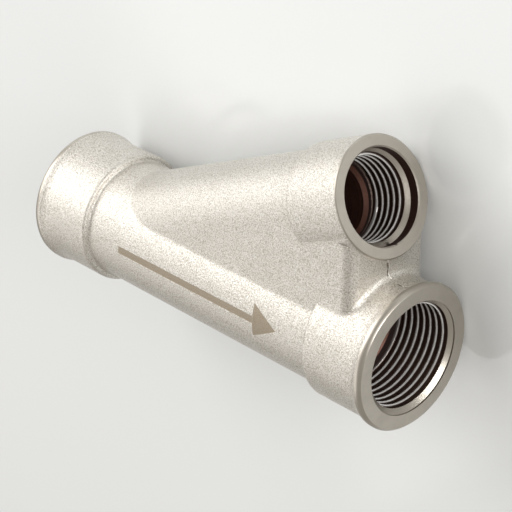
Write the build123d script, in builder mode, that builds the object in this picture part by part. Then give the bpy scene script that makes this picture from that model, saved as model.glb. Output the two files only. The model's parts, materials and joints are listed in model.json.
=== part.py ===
"""Angled tee: a cast fitting with a straight run and a slanting branch, female threads at all three mouths.

The origin is where the axes of run and branch cross, and the run lies along X, with its outlet at the far end.
The branch leaves the run near the inlet and ends beside the outlet, and a web fills the corner between them.
The fitting lies on its side, on both rims of the run and on the branch's collar, so its plane of symmetry leans.
"""
import os
from math import cos, radians, sin, sqrt

from build123d import *

# Run: the straight barrel, alike at both ends
run_length = 111.2
run_tube_radius = 14.85
run_collar_radius = 16.4
run_collar_length = 17.4
run_collar_rounding = 0.9
run_rim_radius = 17.2
run_rim_width = 1.6
run_rim_chamfer = 0.6
run_rim_flare = 2.8

# Branch: it crosses the run's axis past the inlet's face, and its face ends behind the outlet's face
branch_angle = 24.0
branch_crossing = 21.7
branch_face_setback = 10.387
branch_tube_radius = 12.1
branch_collar_radius = 13.4
branch_collar_length = 15.3
branch_collar_rounding = 0.8
branch_face_chamfer = 0.3

# Web between run and branch, as thick as the branch's tube
web_outlet_setback = 8.0
web_branch_setback = 0.8
web_front_rounding = 3.2

# Blends of the casting, along the creases between the barrels and in the crotch beside the outlet
crease_blend = 2.0
crotch_blend = 1.6

# Bores for three-quarter-inch pipe thread at both ends of the run, cut to the thread's minor radius
run_minor_radius = 12.06
run_mouth_radius = 13.4
run_mouth_depth = 0.4
run_cone_radius = 13.25
run_tapped_depth = 17.0
run_bore_radius = 11.0

# Bore for half-inch pipe thread in the branch, set back behind a plain counterbore
branch_minor_radius = 9.32
branch_mouth_radius = 10.57
branch_mouth_chamfer = 0.3
branch_mouth_depth = 2.6
branch_tapped_depth = 14.5
branch_bore_radius = 8.5

# Length of the branch along its axis, from where it crosses the run's axis
slant = radians(branch_angle)
branch_length = (run_length - branch_crossing - branch_face_setback) / cos(slant)

# Lean of the plane of symmetry that brings the edge of the branch's face down to the level of the run's rims
edge_offset = (branch_length - branch_face_chamfer) * sin(slant)
edge_term = edge_offset**2 + (branch_collar_radius * sin(slant)) ** 2
lean_root = sqrt((run_rim_radius * edge_offset) ** 2 - edge_term * (run_rim_radius**2 - branch_collar_radius**2))
lean_sine = (run_rim_radius * edge_offset - lean_root) / edge_term

# The plane of symmetry from the inlet's face along the run, and from the crossing of the axes along the branch
mid_plane = Plane(origin=(-branch_crossing, 0, 0), x_dir=(1, 0, 0), z_dir=(0, lean_sine, sqrt(1 - lean_sine**2)))
branch_plane = Plane(
    origin=(0, 0, 0),
    x_dir=cos(slant) * mid_plane.x_dir + sin(slant) * mid_plane.y_dir,
    z_dir=mid_plane.z_dir,
)
run_axis = Axis(mid_plane.origin, mid_plane.x_dir)
rise_axis = Axis(mid_plane.origin, mid_plane.y_dir)
branch_axis = Axis(branch_plane.origin, branch_plane.x_dir)

# Where the collars start and end, and where the web ends
outlet_collar_start = run_length - run_collar_length
outlet_collar_end = run_length - run_rim_width - run_rim_flare
branch_collar_start = branch_length - branch_collar_length
web_front = run_length - web_outlet_setback
web_branch_reach = branch_length - web_branch_setback
web_front_height = (web_branch_reach - (web_front - branch_crossing) * cos(slant)) / sin(slant)


def collar_step(x, side, high, low, rounding):
    """Adds the edge of a collar at x to the line: a quarter round, then a hollow foot. Returns the foot's x.

    The tube of radius low follows on the side given, 1 for beyond x and -1 for before it.
    """
    hollow = high - low - rounding
    foot_x = x + side * (rounding + hollow)
    CenterArc((x, high - rounding), rounding, 90, -90 * side)
    CenterArc((foot_x, low + hollow), hollow, 90 + 90 * side, 90 * side)
    return foot_x


# End of the web on a plain stretch of the outlet's collar, blended before it joins the fitting
with BuildPart() as crotch:
    with BuildSketch(mid_plane):
        Polygon(
            (outlet_collar_start, 0),
            (web_front, 0),
            (web_front, web_front_height),
            (outlet_collar_start, web_front_height),
            align=None,
        )
    extrude(amount=branch_tube_radius, both=True)
    front_face = crotch.faces().sort_by(Axis.X)[-1]
    fillet(front_face.edges().filter_by(rise_axis), web_front_rounding)
    with BuildSketch(mid_plane):
        Polygon(
            (outlet_collar_start, 0),
            (outlet_collar_end, 0),
            (outlet_collar_end, run_collar_radius),
            (outlet_collar_start, run_collar_radius),
            align=None,
        )
    revolve(axis=run_axis)
    fillet(crotch.edges(Select.NEW), crotch_blend)

with BuildPart() as tee_body:
    # Web, from the crossing of the axes to its upright front
    with BuildSketch(mid_plane):
        Polygon(
            (branch_crossing, 0),
            (branch_crossing + branch_collar_start * cos(slant), branch_collar_start * sin(slant)),
            (web_front, web_front_height),
            (web_front, 0),
            align=None,
        )
    extrude(amount=branch_tube_radius, both=True)
    front_face = tee_body.faces().sort_by(Axis.X)[-1]
    fillet(front_face.edges().filter_by(rise_axis), web_front_rounding)

    # Tubes of the branch and the run, with one blend all along the crease where they and the web meet
    with BuildSketch(branch_plane):
        Polygon(
            (0, 0),
            (branch_collar_start, 0),
            (branch_collar_start, branch_tube_radius),
            (0, branch_tube_radius),
            align=None,
        )
    revolve(axis=branch_axis)
    with BuildSketch(mid_plane):
        tube_end = run_length - run_rim_width
        Polygon(
            (run_rim_width, 0),
            (tube_end, 0),
            (tube_end, run_tube_radius),
            (run_rim_width, run_tube_radius),
            align=None,
        )
    revolve(axis=run_axis)
    fillet(tee_body.edges(Select.NEW), crease_blend)
    add(crotch.part)

    # Outside of the run with its collars and rims: the inlet's half, then its mirror image
    with BuildSketch(mid_plane):
        with BuildLine():
            Polyline(
                (run_length / 2, 0),
                (0, 0),
                (0, run_rim_radius - run_rim_chamfer),
                (run_rim_chamfer, run_rim_radius),
                (run_rim_width, run_rim_radius),
            )
            flare_end = (run_rim_width + run_rim_flare, run_collar_radius)
            TangentArc(flare_end, (run_rim_width, run_rim_radius), tangent=(-1, 0))
            Line(flare_end, (run_collar_length, run_collar_radius))
            foot_x = collar_step(run_collar_length, 1, run_collar_radius, run_tube_radius, run_collar_rounding)
            Polyline((foot_x, run_tube_radius), (run_length / 2, run_tube_radius), (run_length / 2, 0))
        make_face()
        mirror(about=Plane.YZ.offset(run_length / 2))
    revolve(axis=run_axis)

    # Outside of the branch with its collar
    with BuildSketch(branch_plane):
        with BuildLine():
            Polyline(
                (0, 0),
                (branch_length, 0),
                (branch_length, branch_collar_radius - branch_face_chamfer),
                (branch_length - branch_face_chamfer, branch_collar_radius),
                (branch_collar_start, branch_collar_radius),
            )
            foot_x = collar_step(
                branch_collar_start, -1, branch_collar_radius, branch_tube_radius, branch_collar_rounding
            )
            Polyline((foot_x, branch_tube_radius), (0, branch_tube_radius), (0, 0))
        make_face()
    revolve(axis=branch_axis)

    # Waterway of the run: mouth, lead-in cone, tapped bore and plain bore, then their mirror image
    with BuildSketch(mid_plane):
        Polygon(
            (run_length / 2, 0),
            (0, 0),
            (0, run_mouth_radius),
            (run_mouth_depth, run_mouth_radius),
            (run_mouth_depth, run_cone_radius),
            (run_mouth_depth + run_cone_radius - run_minor_radius, run_minor_radius),
            (run_tapped_depth, run_minor_radius),
            (run_tapped_depth + run_minor_radius - run_bore_radius, run_bore_radius),
            (run_length / 2, run_bore_radius),
            align=None,
        )
        mirror(about=Plane.YZ.offset(run_length / 2))
    revolve(axis=run_axis, mode=Mode.SUBTRACT)

    # Waterway of the branch: chamfered counterbore, lead-in cone, tapped bore and plain bore to the run
    cone_start = branch_length - branch_mouth_depth
    tapped_end = branch_length - branch_tapped_depth
    with BuildSketch(branch_plane):
        Polygon(
            (0, 0),
            (branch_length, 0),
            (branch_length, branch_mouth_radius + branch_mouth_chamfer),
            (branch_length - branch_mouth_chamfer, branch_mouth_radius),
            (cone_start, branch_mouth_radius),
            (cone_start - branch_mouth_radius + branch_minor_radius, branch_minor_radius),
            (tapped_end, branch_minor_radius),
            (tapped_end - branch_minor_radius + branch_bore_radius, branch_bore_radius),
            (0, branch_bore_radius),
            align=None,
        )
    revolve(axis=branch_axis, mode=Mode.SUBTRACT)

tee_body.part.label = "tee_body"
os.makedirs("parts", exist_ok=True)
export_step(tee_body.part, "parts/tee_body.step")
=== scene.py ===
"""Angled tee, a cast pipe fitting: its cut threads, its finishes, the floor it lies on, its lamps and the camera.

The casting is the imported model's own shape. The threads are cut into a merged copy of it, which then stands for it.
"""
import json
import math

import bmesh
import bpy
from mathutils import Matrix, Vector


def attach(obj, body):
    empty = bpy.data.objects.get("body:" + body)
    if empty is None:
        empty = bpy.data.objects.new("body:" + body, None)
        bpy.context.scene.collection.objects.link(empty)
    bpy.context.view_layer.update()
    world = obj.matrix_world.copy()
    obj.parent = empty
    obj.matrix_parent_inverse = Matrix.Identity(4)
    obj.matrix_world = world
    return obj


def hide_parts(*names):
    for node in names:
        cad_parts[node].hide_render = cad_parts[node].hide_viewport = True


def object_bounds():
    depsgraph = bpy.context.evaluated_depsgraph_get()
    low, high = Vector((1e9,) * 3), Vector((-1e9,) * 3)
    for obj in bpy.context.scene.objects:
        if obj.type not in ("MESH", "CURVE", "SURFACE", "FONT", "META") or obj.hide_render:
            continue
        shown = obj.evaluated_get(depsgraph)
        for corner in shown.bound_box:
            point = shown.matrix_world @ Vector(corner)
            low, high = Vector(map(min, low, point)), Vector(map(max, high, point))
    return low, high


bl_info = {
    "name": "Angled Tee",
    "version": (1, 0, 0),
    "blender": (4, 5, 0),
    "location": "View3D > Sidebar > Angled Tee",
    "description": "Cuts the threads of a cast angled tee, gives it its finishes and lights it on a plain floor",
    "category": "Object",
}

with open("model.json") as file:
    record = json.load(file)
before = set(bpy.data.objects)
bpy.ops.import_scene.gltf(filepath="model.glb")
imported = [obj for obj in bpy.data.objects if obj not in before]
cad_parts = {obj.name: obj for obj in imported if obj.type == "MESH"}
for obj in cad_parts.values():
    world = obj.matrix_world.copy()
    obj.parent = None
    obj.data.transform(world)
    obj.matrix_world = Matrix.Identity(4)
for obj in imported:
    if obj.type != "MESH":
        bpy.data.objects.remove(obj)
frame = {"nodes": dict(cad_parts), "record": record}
cad_box = [list(corner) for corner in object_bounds()]
casting = frame["nodes"]["tee_body"]
mounts = {mount["name"]: mount for mount in frame["record"]["mounts"]}

# The fitting's own directions: along the run, along the branch, and square to the plane they share
run_direction = Vector(mounts["run_outlet"]["axis"])
branch_direction = Vector(mounts["branch_outlet"]["axis"])
side_direction = run_direction.cross(branch_direction).normalized()
rise_direction = side_direction.cross(run_direction)

# Sizes of the casting that part one finish from the next, in metres, each with a little room for facets
run_mouth_radius = 0.01342
run_bore_radius = 0.0105
run_rim_radius = 0.0173
run_rim_foot = 0.01665
run_rim_width = 0.00155
branch_mouth_radius = 0.01092
branch_cone_height = 0.0013
branch_face_radius = 0.0136
branch_face_reach = 0.085


class Wire:
    """A socket of a node tree. Arithmetic on it adds the Math nodes."""

    def __init__(self, tree, socket):
        self.tree = tree
        self.socket = socket

    def math(self, operation, *others):
        values = dict(enumerate((self, *others)))
        return self.tree.add("ShaderNodeMath", {"operation": operation}, values)

    def __add__(self, other):
        return self.math("ADD", other)

    def __sub__(self, other):
        return self.math("SUBTRACT", other)

    def __rsub__(self, other):
        return self.tree.add("ShaderNodeMath", {"operation": "SUBTRACT"}, {0: other, 1: self})

    def __mul__(self, other):
        return self.math("MULTIPLY", other)

    def __truediv__(self, other):
        return self.math("DIVIDE", other)

    def __pow__(self, other):
        return self.math("POWER", other)

    def __abs__(self):
        return self.math("ABSOLUTE")

    __radd__ = __add__
    __rmul__ = __mul__


class Tree:
    """A node tree to which nodes are added one by one, each with its settings first."""

    def __init__(self, node_tree):
        self.nodes = node_tree.nodes
        self.links = node_tree.links
        self.nodes.clear()

    def add(self, kind, settings=None, inputs=None, output=0):
        """Adds a node and returns the wire of one of its outputs."""
        node = self.nodes.new(kind)
        for name, value in (settings or {}).items():
            if name == "stops":
                while len(node.color_ramp.elements) < len(value):
                    node.color_ramp.elements.new(1.0)
                for element, (place, colour) in zip(node.color_ramp.elements, value):
                    element.position = place
                    element.color = (*colour, 1.0)
            else:
                setattr(node, name, value)
        for name, value in (inputs or {}).items():
            if isinstance(value, Wire):
                self.links.new(value.socket, node.inputs[name])
            elif node.inputs[name].type == "RGBA" and len(value) == 3:
                node.inputs[name].default_value = (*value, 1.0)
            else:
                node.inputs[name].default_value = value
        return Wire(self, node.outputs[output]) if node.outputs else None

    def step(self, value, low, high):
        """A smooth rise from 0 to 1 while the value goes from low to high."""
        settings = {"interpolation_type": "SMOOTHSTEP"}
        return self.add("ShaderNodeMapRange", settings, {"Value": value, "From Min": low, "From Max": high})

    def mix(self, factor, first, second):
        """The first colour at factor 0 and the second at factor 1."""
        return self.add("ShaderNodeMix", {"data_type": "RGBA"}, {0: factor, 6: first, 7: second}, 2)

    def noise(self, place, scale, detail=4.0, roughness=0.55):
        """Noise from 0 to 1 with so many grains to the metre."""
        inputs = {"Vector": place, "Scale": scale, "Detail": detail, "Roughness": roughness}
        return self.add("ShaderNodeTexNoise", None, inputs)

    def along(self, place, direction):
        """How far the place lies in a direction from the origin."""
        return self.add("ShaderNodeVectorMath", {"operation": "DOT_PRODUCT"}, {0: place, 1: direction}, 1)

    def length(self, vector):
        return self.add("ShaderNodeVectorMath", {"operation": "LENGTH"}, {0: vector}, 1)

    def from_axis(self, place, direction):
        """The place's distance from the line through the origin in that direction."""
        return self.length(self.add("ShaderNodeVectorMath", {"operation": "CROSS_PRODUCT"}, {0: place, 1: direction}))


class Finish(Tree):
    """A material whose nodes read the object's own coordinates."""

    def __init__(self, name):
        self.material = bpy.data.materials.new(name)
        self.material.use_nodes = True
        super().__init__(self.material.node_tree)
        self.place = self.add("ShaderNodeTexCoord", None, None, "Object")

    def bump(self, height, distance, under=None):
        """Relief of so many metres for a height from 0 to 1."""
        inputs = {"Height": height, "Distance": distance}
        if under is not None:
            inputs["Normal"] = under
        return self.add("ShaderNodeBump", None, inputs)

    def metal(self, colour, roughness, metallic, normal):
        """Ends the material in one metallic surface."""
        inputs = {"Base Color": colour, "Roughness": roughness, "Metallic": metallic, "Normal": normal}
        surface = self.add("ShaderNodeBsdfPrincipled", None, inputs)
        self.add("ShaderNodeOutputMaterial", None, {"Surface": surface})
        return self.material


def in_box(tree, wire, low, high, edge):
    """1 while the wire's value is between low and high, with soft edges."""
    return tree.step(wire, low - edge, low + edge) * (1 - tree.step(wire, high - edge, high + edge))


def cast_skin(finishes):
    """The sand-cast skin under thin plating: grains, faint stains, the parting line's flash with a painted highlight
    on its ridge and ticks of painted shadow beside it, and an etched arrow.
    """
    tree = Finish("cast_skin")
    grains = tree.noise(tree.place, 1 / finishes.grain_size, 3.0, 0.5)
    clouds = tree.noise(tree.place, 60.0, 2.0, 0.5)
    along_run = tree.along(tree.place, run_direction)
    rise = tree.along(tree.place, rise_direction)
    side = tree.along(tree.place, side_direction)

    # Flow arrow etched into the run's side, with a shaft and a head
    round_run = side.math("ARCTAN2", rise) * finishes.arrow_radius
    height = abs(round_run - finishes.arrow_radius * math.radians(finishes.arrow_angle))
    head_back = finishes.arrow_end - finishes.arrow_head
    shaft = in_box(tree, along_run, finishes.arrow_start, head_back, 0.00012) * (
        1 - tree.step(height, finishes.arrow_width / 2 - 0.0001, finishes.arrow_width / 2 + 0.0001)
    )
    taper = (finishes.arrow_end - along_run) * 0.55
    head = in_box(tree, along_run, head_back, finishes.arrow_end, 0.00012) * tree.step(
        taper - height, -0.0001, 0.0001
    )
    etched = shaft.math("MAXIMUM", head)

    # Flash where the halves of the mould met: a thin ridge on the web's front with a painted highlight along it, and
    # dark ticks of painted shadow beside it there and on the collar
    wander = (tree.noise(tree.place, 300.0, 2.0) - 0.5) * 0.0009
    ridge = (1 - tree.step(abs(side + wander), 0.00012, 0.00036)) * in_box(tree, along_run, 0.0795, 0.0885, 0.0006)
    ridge = ridge * tree.step(tree.noise(tree.place, 520.0, 2.0), 0.42, 0.54) * tree.step(rise, 0.01, 0.0125)
    on_front = in_box(tree, rise, 0.0172, 0.0205, 0.0002) * in_box(tree, along_run, 0.0795, 0.0835, 0.0002)
    on_collar = in_box(tree, along_run, 0.0843, 0.0856, 0.00015).math(
        "MAXIMUM", in_box(tree, along_run, 0.0862, 0.0873, 0.00015)
    ) * tree.step(rise, 0.01, 0.0125)
    # Ticks of painted shadow beside the ridge, on the web's front and on the collar; they also dent the relief
    shadow_ticks = (1 - tree.step(abs(side + wander * 1.4 - 0.00038), 0.00012, 0.00034)) * on_front.math("MAXIMUM", on_collar)
    shadow_ticks = shadow_ticks * tree.step(tree.noise(tree.place, 1400.0, 2.0), 0.36, 0.5)

    shade = (1 - tree.step(grains, 0.34, 0.6)) * 0.95 + tree.step(clouds, 0.4, 0.75) * 0.05
    colour = tree.mix(shade, finishes.cast_colour, finishes.cast_shade)
    colour = tree.mix(etched * (0.62 + 0.38 * grains), colour, finishes.etched_colour)
    # Painted highlight along the ridge, then the painted shadow of the ticks beside it
    colour = tree.mix(ridge * 0.5, colour, finishes.ridge_highlight_colour)
    colour = tree.mix(shadow_ticks * 0.85, colour, finishes.shadow_tick_colour)
    roughness = finishes.cast_roughness + (0.5 - grains) * 0.4 + etched * 0.15
    metallic = 0.85 - etched * 0.5
    relief = tree.bump(grains, finishes.grain_depth)
    relief = tree.bump(ridge - shadow_ticks, 0.0003, relief)
    relief = tree.bump(1 - etched, 0.00005, relief)
    return tree.metal(colour, roughness, metallic, relief)


def turned_face(finishes):
    """Faces and rims that were turned on a lathe: fine rings round the run's or the branch's axis."""
    tree = Finish("turned_face")
    from_run = tree.from_axis(tree.place, run_direction)
    from_branch = tree.from_axis(tree.place, branch_direction)
    on_branch = 1 - tree.step(from_branch, 0.0136, 0.0138)
    radius = from_run + (from_branch - from_run) * on_branch
    rings = tree.noise(tree.add("ShaderNodeCombineXYZ", None, {"X": radius}), 9000.0, 2.0, 0.7)
    smears = tree.noise(tree.place, 260.0, 3.0, 0.5)
    colour = tree.mix(rings * 0.5 + tree.step(smears, 0.4, 0.7) * 0.3, finishes.turned_colour, finishes.turned_shade)
    roughness = 0.3 + smears * 0.14
    relief = tree.bump(rings, 0.000012)
    relief = tree.bump(tree.noise(tree.place, 1500.0, 4.0), 0.00001, relief)
    return tree.metal(colour, roughness, 1.0, relief)


def towards_bore(tree, below):
    """How far a place in a tapped hole takes the plain bore's look, from 0 to 1 over the last thread."""
    outlet = mounts["run_outlet"]
    inlet = mounts["run_inlet"]
    branch = mounts["branch_outlet"]
    along_run = tree.along(tree.place, run_direction)
    past_run = (along_run - outlet["pos_m"][0]).math("MAXIMUM", inlet["pos_m"][0] - along_run)
    past_branch = tree.along(tree.place, branch_direction) - Vector(branch["pos_m"]).length
    from_run_end = past_run + outlet["dims"]["length_mm"] / 1000
    from_branch_end = past_branch + branch["dims"]["length_mm"] / 1000
    left = from_run_end + (from_branch_end - from_run_end) * in_branch(tree)
    return (1 - tree.step(left + below * 0.0004, 0.0014, 0.0027)) * 0.95


def in_branch(tree):
    """1 in the branch's mouth and bore, and 0 in the run's."""
    return 1 - tree.step(tree.from_axis(tree.place, branch_direction), 0.0111, 0.0113)


def crest_metal(finishes):
    """Bright cut metal on thread crests."""
    tree = Finish("crest_metal")
    chatter = tree.noise(tree.place, 900.0, 4.0, 0.6)
    deep = towards_bore(tree, chatter)
    colour = tree.mix(chatter * 0.35, finishes.thread_colour, finishes.turned_colour)
    colour = tree.mix(deep, colour, finishes.bore_stain_and_shade)
    return tree.metal(colour, 0.26 + chatter * 0.14 + deep * 0.2, 0.2 + deep * 0.4, tree.bump(chatter, 0.000015))


def groove_metal(finishes):
    """Thread flanks: bright near the crests, rougher towards the roots, and darkened to brown there by painted shade.
    """
    tree = Finish("groove_metal")
    from_run = tree.from_axis(tree.place, run_direction) - mounts["run_outlet"]["dims"]["r_mm"] / 1000
    from_branch = tree.from_axis(tree.place, branch_direction) - mounts["branch_outlet"]["dims"]["r_mm"] / 1000
    below = (from_run + (from_branch - from_run) * in_branch(tree)) / finishes.thread_depth
    chatter = tree.noise(tree.place, 900.0, 4.0, 0.6)
    deep = towards_bore(tree, chatter)
    # Painted shade: the flanks darken with depth below the crests, and they take the bore's look over the last thread
    depth = tree.step(below + (chatter - 0.5) * 0.2, 0.04, 0.38).math("MAXIMUM", deep)
    colour = tree.mix(depth, finishes.thread_colour, finishes.root_shade_colour)
    return tree.metal(colour, 0.3 + depth * 0.2, 0.2 + depth * 0.7, tree.bump(chatter, 0.000015))


def bore_wall(finishes):
    """The unplated waterways past the threads: red-brown, with turning marks, stains and painted shade in the
    counterbore.
    """
    tree = Finish("bore_wall")
    along_run = tree.along(tree.place, run_direction)
    along_branch = tree.along(tree.place, branch_direction)
    in_run = 1 - tree.step(tree.from_axis(tree.place, run_direction), 0.01095, 0.01105)
    cut_along = along_branch + (along_run - along_branch) * in_run
    marks = tree.noise(tree.add("ShaderNodeCombineXYZ", None, {"X": cut_along}), 1300.0, 2.0, 0.6)
    stains = tree.noise(tree.place, 300.0, 4.0, 0.6)
    # Painted shade in the counterbore, added to the turning marks and the stains
    counterbore_shade = in_branch(tree) * tree.step(tree.from_axis(tree.place, branch_direction), 0.0102, 0.0104)
    stains_and_shade = tree.step(marks, 0.35, 0.65) * 0.6 + tree.step(stains, 0.35, 0.7) * 0.4 + counterbore_shade
    colour = tree.mix(stains_and_shade, finishes.bore_colour, finishes.bore_stain_and_shade)
    roughness = 0.36 + stains * 0.2
    return tree.metal(colour, roughness, 0.6, tree.bump(marks, 0.00003))


def thread_tree():
    """Geometry nodes for the body of a helical groove: a rounded Whitworth form swept along a helix that runs out."""
    group = bpy.data.node_groups.new("thread_groove", "GeometryNodeTree")
    face = group.interface
    face.new_socket("Geometry", in_out="INPUT", socket_type="NodeSocketGeometry")
    sizes = {
        "Crest Radius": 0.012,
        "Pitch": 0.0018,
        "Depth": 0.00116,
        "Turns": 9.0,
        "Steps per Turn": 72.0,
        "Run-in Turns": 0.4,
        "Run-out Turns": 0.6,
        "Start Turn": 0.0,
        "Start Offset": 0.0,
    }
    for name, size in sizes.items():
        face.new_socket(name, in_out="INPUT", socket_type="NodeSocketFloat").default_value = size
    face.new_socket("Material", in_out="INPUT", socket_type="NodeSocketMaterial")
    face.new_socket("Geometry", in_out="OUTPUT", socket_type="NodeSocketGeometry")
    tree = Tree(group)
    given = tree.nodes.new("NodeGroupInput")
    value = {name: Wire(tree, given.outputs[name]) for name in (*sizes, "Material")}
    index = tree.add("GeometryNodeInputIndex")

    # Path: a helix about Z that starts at Start Offset, and sinks below the crests over its last turns
    count = value["Turns"] * value["Steps per Turn"]
    turn = index / value["Steps per Turn"]
    angle = (turn + value["Start Turn"]) * math.tau
    left = (value["Turns"] - turn) / value["Run-out Turns"]
    begun = turn / value["Run-in Turns"]
    sunk = 1 - tree.step(left, 0.0, 1.0) * tree.step(begun, 0.0, 1.0)
    radius = value["Crest Radius"] - sunk * (value["Depth"] * 1.15)
    spot = {
        "X": radius * angle.math("COSINE"),
        "Y": radius * angle.math("SINE"),
        "Z": value["Start Offset"] + turn * value["Pitch"],
    }
    line = tree.add("GeometryNodeCurvePrimitiveLine")
    path = tree.add("GeometryNodeResampleCurve", {"mode": "COUNT"}, {"Curve": line, "Count": count + 1})
    path = tree.add(
        "GeometryNodeSetPosition", None, {"Geometry": path, "Position": tree.add("ShaderNodeCombineXYZ", None, spot)}
    )
    path = tree.add("GeometryNodeSetCurveNormal", {"mode": "Z_UP"}, {"Curve": path})

    # Section: the thread's form outwards, closed below the crests by its first and last points
    points = 19
    last = points - 1
    across = ((index - 1) / (last - 2)).math("MINIMUM", 1.0).math("MAXIMUM", 0.0)
    across = (across - 0.5) * (value["Pitch"] * 0.97)
    sharp = (value["Pitch"] * (5 / 12) - abs(across)) / math.tan(math.radians(27.5))
    form = sharp.math("SMOOTH_MIN", value["Depth"], value["Pitch"] * 0.16)
    form = form.math("SMOOTH_MAX", value["Pitch"] * -0.07, value["Pitch"] * 0.14)
    at_end = index.math("LESS_THAN", 0.5) + index.math("GREATER_THAN", last - 0.5)
    form = form + at_end * (value["Pitch"] * -0.2 - form)
    section = tree.add("GeometryNodeResampleCurve", {"mode": "COUNT"}, {"Curve": line, "Count": points})
    section = tree.add(
        "GeometryNodeSetPosition",
        None,
        {"Geometry": section, "Position": tree.add("ShaderNodeCombineXYZ", None, {"X": across, "Y": form})},
    )
    section = tree.add("GeometryNodeSetSplineCyclic", None, {"Geometry": section, "Cyclic": True})

    sweep = {"Curve": path, "Profile Curve": section, "Fill Caps": True}
    groove = tree.add("GeometryNodeCurveToMesh", None, sweep)
    groove = tree.add("GeometryNodeRealizeInstances", None, {"Geometry": groove})
    groove = tree.add("GeometryNodeSetMaterial", None, {"Geometry": groove, "Material": value["Material"]})
    end = tree.nodes.new("NodeGroupOutput")
    tree.links.new(groove.socket, end.inputs["Geometry"])
    return group


def plain_mesh(thing):
    """The evaluated object's mesh, free of modifiers."""
    graph = bpy.context.evaluated_depsgraph_get()
    return bpy.data.meshes.new_from_object(thing.evaluated_get(graph))


def point_outwards(mesh):
    """Merges doubles and turns every face of the closed mesh outwards."""
    shell = bmesh.new()
    shell.from_mesh(mesh)
    bmesh.ops.remove_doubles(shell, verts=shell.verts, dist=1e-7)
    bmesh.ops.recalc_face_normals(shell, faces=shell.faces)
    if shell.calc_volume(signed=True) < 0:
        bmesh.ops.reverse_faces(shell, faces=shell.faces)
    shell.to_mesh(mesh)
    shell.free()


def groove_body(mount, group, threads, finish):
    """The solid body of one mouth's thread groove, in place, going inwards from in front of its lead-in cone."""
    body = bpy.data.objects.new("groove_" + mount["name"], bpy.data.meshes.new("groove"))
    bpy.context.scene.collection.objects.link(body)
    length = mount["dims"]["length_mm"] / 1000
    sizes = {
        "Crest Radius": mount["dims"]["r_mm"] / 1000,
        "Pitch": threads.pitch,
        "Depth": threads.depth,
        "Turns": (length + threads.lead_in - threads.lead_out) / threads.pitch,
        "Steps per Turn": float(threads.steps),
        "Run-in Turns": threads.run_in,
        "Run-out Turns": threads.run_out,
        "Start Turn": threads.start_turn,
        "Start Offset": -threads.lead_in,
        "Material": finish,
    }
    modifier = body.modifiers.new("groove", "NODES")
    modifier.node_group = group
    for socket in group.interface.items_tree:
        if socket.in_out == "INPUT" and socket.name in sizes:
            modifier[socket.identifier] = sizes[socket.name]
    mesh = plain_mesh(body)
    inwards = -Vector(mount["axis"])
    turn = inwards.to_track_quat("Z", "Y").to_matrix().to_4x4()
    mesh.transform(Matrix.Translation(Vector(mount["pos_m"])) @ turn)
    body.modifiers.remove(modifier)
    body.data = mesh
    point_outwards(mesh)
    return body


def kind_of_face(centre, normal):
    """Which finish a face of the casting has: 0 cast, 1 turned, 2 crest, 3 bore."""
    along = centre.dot(run_direction)
    from_run = (centre - along * run_direction).length
    reach = centre.dot(branch_direction)
    from_branch = (centre - reach * branch_direction).length
    outlet = mounts["run_outlet"]
    inlet = mounts["run_inlet"]
    branch = mounts["branch_outlet"]
    past_run = max(along - outlet["pos_m"][0], inlet["pos_m"][0] - along)
    past_branch = reach - Vector(branch["pos_m"]).length
    if from_branch < branch_mouth_radius and reach > 0 and from_run > run_bore_radius:
        if past_branch > branch_cone_height and abs(normal.dot(branch_direction)) < 0.1:
            return 3
        if past_branch > 0:
            return 1
        return 2 if past_branch > -branch["dims"]["length_mm"] / 1000 else 3
    if from_run < run_mouth_radius:
        if past_run > 0:
            return 1
        return 2 if past_run > -outlet["dims"]["length_mm"] / 1000 else 3
    if abs(normal.dot(branch_direction)) > 0.6 and from_branch < branch_face_radius and reach > branch_face_reach:
        return 1
    if from_run < run_rim_radius and past_run > 0 and (from_run > run_rim_foot or past_run > run_rim_width):
        return 1
    return 0


def round_bores(mesh):
    """Turns the corners of walls and cones in the bores as on true cylinders and cones, so that no facet shows."""
    directions = [corner.vector.copy() for corner in mesh.corner_normals]
    for face in mesh.polygons:
        if face.material_index not in (1, 2, 3):
            continue
        fits = []
        for axis in (run_direction, branch_direction):
            outwards = (face.center - face.center.dot(axis) * axis).normalized()
            fits.append((face.normal.dot(axis) ** 2 + face.normal.dot(outwards) ** 2, face.normal.dot(outwards), axis))
        fit, facing, axis = max(fits, key=lambda entry: entry[0])
        if fit < 0.99 or facing > -0.1:
            continue
        tilt = face.normal.dot(axis)
        for corner in face.loop_indices:
            spot = mesh.vertices[mesh.loops[corner].vertex_index].co
            outwards = (spot - spot.dot(axis) * axis).normalized()
            directions[corner] = axis * tilt - outwards * math.sqrt(1 - tilt * tilt)
    mesh.normals_split_custom_set(directions)


class AngledTeeThreads(bpy.types.PropertyGroup):
    pitch: bpy.props.FloatProperty(
        name="Pitch",
        description="Distance between neighbouring thread crests, fourteen to the inch",
        default=0.0254 / 14,
        min=0.0005,
        unit="LENGTH",
    )
    depth: bpy.props.FloatProperty(
        name="Depth",
        description="Depth of the thread from crest to root",
        default=0.6403 * 0.0254 / 14,
        min=0.0002,
        unit="LENGTH",
    )
    lead_in: bpy.props.FloatProperty(
        name="Lead-in",
        description="How far before the plain wall the groove starts, so that it cuts through the cone",
        default=0.0011,
        unit="LENGTH",
    )
    lead_out: bpy.props.FloatProperty(
        name="Lead-out",
        description="How far before the end of the tapped wall the groove ends, clear of the cone to the plain bore",
        default=0.0005,
        unit="LENGTH",
    )
    run_in: bpy.props.FloatProperty(
        name="Run-in", description="Turns over which the groove's start grows out of the cone", default=0.5
    )
    run_out: bpy.props.FloatProperty(
        name="Run-out", description="Turns over which the groove's end fades into the wall", default=0.5
    )
    start_turn: bpy.props.FloatProperty(
        name="Start turn", description="Where the groove starts round the mouth, as a part of a turn", default=0.0
    )
    steps: bpy.props.IntProperty(
        name="Steps per turn", description="Straight steps in one turn of the groove", default=96, min=16
    )


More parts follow.
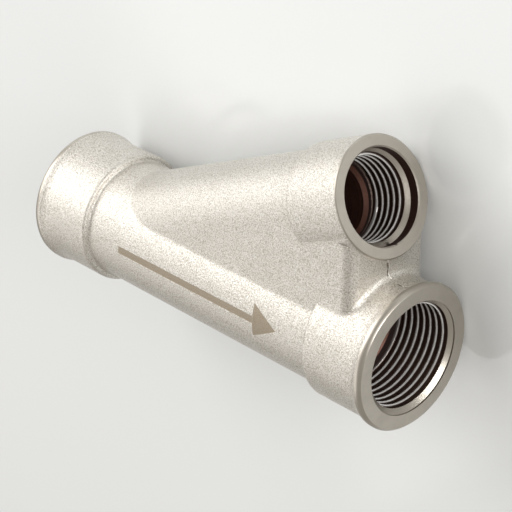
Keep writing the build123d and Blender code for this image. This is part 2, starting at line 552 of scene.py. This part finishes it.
class AngledTeeFinishes(bpy.types.PropertyGroup):
    cast_colour: bpy.props.FloatVectorProperty(
        name="Cast skin", description="Colour of the plated casting", subtype="COLOR", default=(0.82, 0.795, 0.75)
    )
    cast_shade: bpy.props.FloatVectorProperty(
        name="Cast skin, stained", description="Colour of its darker clouds", subtype="COLOR", default=(0.44, 0.395, 0.33)
    )
    cast_roughness: bpy.props.FloatProperty(
        name="Cast roughness", description="Roughness of the cast skin", default=0.34, subtype="FACTOR"
    )
    # The ridge's colour is a painted highlight
    ridge_highlight_colour: bpy.props.FloatVectorProperty(
        name="Flash", description="Colour of the ridge at the mould's parting", subtype="COLOR", default=(0.93, 0.91, 0.87)
    )
    # The ticks' colour is a painted shadow
    shadow_tick_colour: bpy.props.FloatVectorProperty(
        name="Flash chips", description="Colour of the chips beside it", subtype="COLOR", default=(0.16, 0.115, 0.08)
    )
    grain_size: bpy.props.FloatProperty(
        name="Grain size", description="Size of the skin's grains", default=0.00027, unit="LENGTH"
    )
    grain_depth: bpy.props.FloatProperty(
        name="Grain depth", description="Height of the skin's grains", default=0.00016, unit="LENGTH"
    )
    turned_colour: bpy.props.FloatVectorProperty(
        name="Turned faces", description="Colour of faces and rims", subtype="COLOR", default=(0.56, 0.52, 0.46)
    )
    turned_shade: bpy.props.FloatVectorProperty(
        name="Turned faces, rings", description="Colour of their darker rings", subtype="COLOR", default=(0.45, 0.415, 0.365)
    )
    thread_colour: bpy.props.FloatVectorProperty(
        name="Thread crests", description="Colour of crests and cones", subtype="COLOR", default=(0.92, 0.91, 0.89)
    )
    # Painted shade down in the thread roots
    root_shade_colour: bpy.props.FloatVectorProperty(
        name="Thread roots", description="Colour down in the grooves", subtype="COLOR", default=(0.11, 0.07, 0.055)
    )
    thread_depth: bpy.props.FloatProperty(
        name="Thread shading depth", description="Depth over which the grooves darken", default=0.00116, unit="LENGTH"
    )
    bore_colour: bpy.props.FloatVectorProperty(
        name="Waterway", description="Colour of the unplated bores", subtype="COLOR", default=(0.14, 0.06, 0.04)
    )
    # Colour of the waterways' real stains, and also of the painted shade in the counterbore
    bore_stain_and_shade: bpy.props.FloatVectorProperty(
        name="Waterway, stained", description="Their darker stains", subtype="COLOR", default=(0.065, 0.029, 0.021)
    )
    etched_colour: bpy.props.FloatVectorProperty(
        name="Etched arrow", description="Colour of the etched flow arrow", subtype="COLOR", default=(0.29, 0.225, 0.145)
    )
    arrow_start: bpy.props.FloatProperty(
        name="Arrow start", description="Where the arrow starts along the run", default=0.008, unit="LENGTH"
    )
    arrow_end: bpy.props.FloatProperty(
        name="Arrow end", description="Where its point lies along the run", default=0.062, unit="LENGTH"
    )
    arrow_head: bpy.props.FloatProperty(
        name="Arrow head", description="Length of its head", default=0.0075, unit="LENGTH"
    )
    arrow_width: bpy.props.FloatProperty(
        name="Arrow width", description="Width of its shaft", default=0.0018, unit="LENGTH"
    )
    arrow_angle: bpy.props.FloatProperty(
        name="Arrow angle", description="Degrees round the run from the branch's side", default=86.0
    )
    arrow_radius: bpy.props.FloatProperty(
        name="Run radius", description="Radius of the barrel that carries the arrow", default=0.01485, unit="LENGTH"
    )


class AngledTeeStage(bpy.types.PropertyGroup):
    floor_colour: bpy.props.FloatVectorProperty(
        name="Floor", description="Colour of the floor", subtype="COLOR", default=(0.88, 0.9, 0.905)
    )
    key_power: bpy.props.FloatProperty(name="Key lamp", description="Power of the key lamp", default=5.4, unit="POWER")
    fill_power: bpy.props.FloatProperty(
        name="Fill lamp", description="Power of the fill lamp", default=1.6, unit="POWER"
    )
    front_power: bpy.props.FloatProperty(
        name="Front lamp", description="Power of the lamp before the mouths", default=3.8, unit="POWER"
    )
    room_level: bpy.props.FloatProperty(
        name="Room level", description="Brightness of the room around the fitting", default=0.43
    )
    lens: bpy.props.FloatProperty(
        name="Lens", description="Focal length of the camera on a 36 mm sensor, in millimetres", default=124.41
    )


class ANGLED_TEE_OT_body(bpy.types.Operator):
    """Cuts the threads into a copy of the casting and gives it its finishes"""

    bl_idname = "angled_tee.body"
    bl_label = "Fitting"

    def execute(self, context):
        threads = context.scene.angled_tee_threads
        finishes = context.scene.angled_tee_finishes
        groove = groove_metal(finishes)
        kinds = [cast_skin(finishes), turned_face(finishes), crest_metal(finishes), bore_wall(finishes), groove]
        body = bpy.data.objects.new("tee_fitting", casting.data.copy())
        context.scene.collection.objects.link(body)
        body.data.materials.clear()
        for finish in kinds:
            body.data.materials.append(finish)
        shell = bmesh.new()
        shell.from_mesh(body.data)
        bmesh.ops.remove_doubles(shell, verts=shell.verts, dist=1e-7)
        open_edges = [edge for edge in shell.edges if not edge.is_manifold]
        shell.to_mesh(body.data)
        shell.free()
        if open_edges:
            raise RuntimeError(f"the casting's copy has {len(open_edges)} open edges")

        group = thread_tree()
        cutters = []
        for name in ("run_inlet", "run_outlet", "branch_outlet"):
            cutter = groove_body(mounts[name], group, threads, groove)
            cut = body.modifiers.new("cut_" + name, "BOOLEAN")
            cut.object = cutter
            cut.operation = "DIFFERENCE"
            cut.solver = "MANIFOLD"
            cut.material_mode = "TRANSFER"
            cutters.append(cutter)
        mesh = plain_mesh(body)
        body.modifiers.clear()
        body.data = mesh
        for cutter in cutters:
            bpy.data.objects.remove(cutter)
        if len(mesh.polygons) <= len(casting.data.polygons):
            raise RuntimeError("the threads weren't cut")
        for face in mesh.polygons:
            if mesh.materials[face.material_index] != groove:
                face.material_index = kind_of_face(face.center, face.normal)
            face.use_smooth = True
        mesh.set_sharp_from_angle(angle=math.radians(28))
        even = body.modifiers.new("even_shading", "WEIGHTED_NORMAL")
        even.keep_sharp = True
        even.mode = "FACE_AREA_WITH_ANGLE"
        finished = plain_mesh(body)
        round_bores(finished)
        body.modifiers.clear()
        body.data = finished
        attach(body, "root")
        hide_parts("tee_body")
        return {"FINISHED"}


class ANGLED_TEE_OT_stage(bpy.types.Operator):
    """Adds the floor, the soft lamps, the room and the camera"""

    bl_idname = "angled_tee.stage"
    bl_label = "Stage"

    def execute(self, context):
        stage = context.scene.angled_tee_stage
        low = Vector(cad_box[0])
        mesh = bpy.data.meshes.new("floor")
        reach = 3.0
        corners = [(-reach, -reach, low.z), (reach, -reach, low.z), (reach, reach, low.z), (-reach, reach, low.z)]
        mesh.from_pydata(corners, [], [(0, 1, 2, 3)])
        floor = bpy.data.objects.new("floor", mesh)
        context.scene.collection.objects.link(floor)
        tree = Finish("floor")
        inputs = {"Base Color": tuple(stage.floor_colour), "Roughness": 0.12, "Specular IOR Level": 0.5}
        surface = tree.add("ShaderNodeBsdfPrincipled", None, inputs)
        tree.add("ShaderNodeOutputMaterial", None, {"Surface": surface})
        mesh.materials.append(tree.material)

        world = bpy.data.worlds.new("room")
        world.use_nodes = True
        context.scene.world = world
        tree = Tree(world.node_tree)
        background = {"Color": (1.0, 0.955, 0.885), "Strength": stage.room_level}
        surface = tree.add("ShaderNodeBackground", None, background)
        tree.add("ShaderNodeOutputWorld", None, {"Surface": surface})

        middle = Vector((0.034, 0.01, 0.0))
        self.lamp("key", Vector((-0.52, 0.5, 0.46)), middle, (0.9, 0.66), stage.key_power)
        self.lamp("fill", Vector((-0.45, -0.3, 0.75)), middle, (0.7, 0.7), stage.fill_power)
        self.lamp("front", Vector((0.74, 0.34, 0.14)), middle, (0.4, 0.4), stage.front_power)

        eye = bpy.data.cameras.new("camera")
        eye.sensor_width = 36.0
        eye.lens = stage.lens
        camera = bpy.data.objects.new("camera", eye)
        right = Vector((0.69058501, -0.08517792, -0.71821797))
        down = Vector((0.33890413, -0.83916059, 0.42538628))
        forward = Vector((-0.63893374, -0.53717243, -0.55064458))
        camera.matrix_world = Matrix.Translation((0.30201, 0.22612, 0.22486)) @ Matrix(
            (right, -down, -forward)
        ).transposed().to_4x4()
        context.scene.collection.objects.link(camera)
        context.scene.camera = camera
        context.scene.view_settings.view_transform = "Standard"
        return {"FINISHED"}

    def lamp(self, name, place, target, size, power):
        """Hangs a soft rectangular lamp at a place and aims it at the target."""
        light = bpy.data.lights.new(name, "AREA")
        light.shape = "RECTANGLE"
        light.size, light.size_y = size
        light.energy = power
        lamp = bpy.data.objects.new(name, light)
        lamp.matrix_world = Matrix.Translation(place) @ (target - place).to_track_quat("-Z", "Y").to_matrix().to_4x4()
        bpy.context.scene.collection.objects.link(lamp)


class ANGLED_TEE_PT_panel(bpy.types.Panel):
    bl_label = "Angled Tee"
    bl_space_type = "VIEW_3D"
    bl_region_type = "UI"
    bl_category = "Angled Tee"

    def draw(self, context):
        groups = (
            (context.scene.angled_tee_threads, None),
            (context.scene.angled_tee_finishes, ANGLED_TEE_OT_body),
            (context.scene.angled_tee_stage, ANGLED_TEE_OT_stage),
        )
        for group, operator in groups:
            column = self.layout.column()
            for name in type(group).__annotations__:
                column.prop(group, name)
            if operator:
                column.operator(operator.bl_idname)


property_groups = {
    "angled_tee_threads": AngledTeeThreads,
    "angled_tee_finishes": AngledTeeFinishes,
    "angled_tee_stage": AngledTeeStage,
}
classes = (*property_groups.values(), ANGLED_TEE_OT_body, ANGLED_TEE_OT_stage, ANGLED_TEE_PT_panel)


def register():
    for cls in classes:
        bpy.utils.register_class(cls)
    for name, group in property_groups.items():
        setattr(bpy.types.Scene, name, bpy.props.PointerProperty(type=group))


def unregister():
    for name in property_groups:
        delattr(bpy.types.Scene, name)
    for cls in reversed(classes):
        bpy.utils.unregister_class(cls)


def main():
    register()
    bpy.ops.angled_tee.body()
    bpy.ops.angled_tee.stage()


if __name__ == "__main__":
    main()
